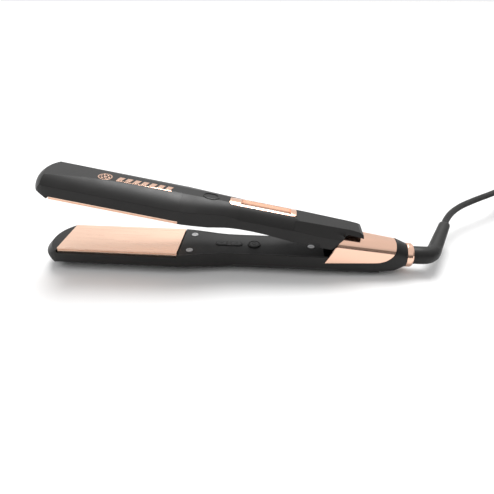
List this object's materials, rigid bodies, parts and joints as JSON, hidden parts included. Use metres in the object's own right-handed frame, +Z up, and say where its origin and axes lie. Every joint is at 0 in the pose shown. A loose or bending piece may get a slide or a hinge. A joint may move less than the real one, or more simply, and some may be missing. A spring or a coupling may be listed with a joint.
{
  "type": "flat iron",
  "caption": "Wide-plate hair straightener lying open, with sprung floating plates, a hinge under a metallic tail cap, push buttons and a cord on a swivelling elbow",
  "frame": {"origin": "on the flat underside of the lower arm, where it rests, on the arm's middle line at the front of the handle", "axes": "+X along the lower arm from the plates towards the cord, +Z up away from the rest face, +Y to the side the cord elbow points to"},
  "size_m": [0.598, 0.2001, 0.0909],
  "materials": {
    "black_shell": "satin black",
    "black_inner": "fine matt black",
    "black_button": "satin black",
    "rose_plate": "rose gold coating, satin",
    "rose_chrome": "polished rose gold plating",
    "carrier_ceramic": "matt",
    "heater_grey": "matt",
    "steel": "bright",
    "pin_brass": "nickel bright",
    "board": "solder mask",
    "lead_insulation": "silicone",
    "block_plastic": "matt",
    "lens_white": "frosted",
    "boot_rubber": "matt",
    "cord_braid": "woven braid",
    "plug_rubber": "matt"
  },
  "bodies": {
    "lower_arm": {"lower_shell": "black_shell", "lower_cover": "black_inner", "lower_springs": "steel", "control_board": "board", "tact_switches": "steel", "lower_screws": "steel", "lower_leads": "lead_insulation", "rear_cap": "rose_chrome", "hinge_pin": "steel", "hinge_spring": "steel", "swivel_ring": "rose_chrome", "slip_block": "block_plastic", "contact_ring": "pin_brass", "cord_tube": "cord_braid", "cord_coil": "cord_braid", "cord_tail": "cord_braid", "plug_body": "plug_rubber", "plug_pins": "pin_brass"},
    "upper_arm": {"upper_shell": "black_shell", "upper_cover": "black_inner", "upper_springs": "steel", "upper_screws": "steel", "hinge_knuckle": "black_inner", "light_trim": "rose_chrome", "light_lens": "lens_white", "light_board": "board", "thumb_pad": "black_button", "emblem_disc": "rose_chrome", "emblem_bars": "rose_chrome"},
    "lower_plate_group": {"lower_plate": "rose_plate", "lower_carrier": "carrier_ceramic", "lower_heater": "heater_grey", "thermal_fuse": "steel"},
    "upper_plate_group": {"upper_plate": "rose_plate", "upper_carrier": "carrier_ceramic", "upper_heater": "heater_grey"},
    "minus_button": {"minus_button": "black_button"},
    "plus_button": {"plus_button": "black_button"},
    "power_button": {"power_button": "black_button"},
    "swivel": {"cord_boot": "boot_rubber", "swivel_core": "steel"}
  },
  "joints": [
    {"name": "arm_hinge", "type": "hinge", "parent": "lower_arm", "child": "upper_arm", "pos_m": [0.122, 0, 0.018], "axis": [0, 1, 0], "range_deg": [-10.2, 0], "stiffness_Nm_per_rad": 3, "springref_deg": 9.17},
    {"name": "lower_plate_float", "type": "slide", "parent": "lower_arm", "child": "lower_plate_group", "axis": [0, 0, 1], "range_m": [-0.001, 0], "stiffness_N_per_m": 3000, "springref_m": 0.001},
    {"name": "upper_plate_float", "type": "slide", "parent": "upper_arm", "child": "upper_plate_group", "axis": [0.1771, 0, 0.9842], "range_m": [0, 0.001], "stiffness_N_per_m": 3000, "springref_m": -0.001},
    {"name": "minus_press", "type": "slide", "parent": "lower_arm", "child": "minus_button", "axis": [0, 0, 1], "range_m": [-0.0006, 0], "stiffness_N_per_m": 1200, "springref_m": 0.0004},
    {"name": "plus_press", "type": "slide", "parent": "lower_arm", "child": "plus_button", "axis": [0, 0, 1], "range_m": [-0.0006, 0], "stiffness_N_per_m": 1200, "springref_m": 0.0004},
    {"name": "power_press", "type": "slide", "parent": "lower_arm", "child": "power_button", "axis": [0, 0, 1], "range_m": [-0.0006, 0], "stiffness_N_per_m": 1200, "springref_m": 0.0004},
    {"name": "cord_swivel", "type": "hinge", "parent": "lower_arm", "child": "swivel", "pos_m": [0.1644, 0, 0.0163], "axis": [1, 0, 0], "continuous": true}
  ]
}
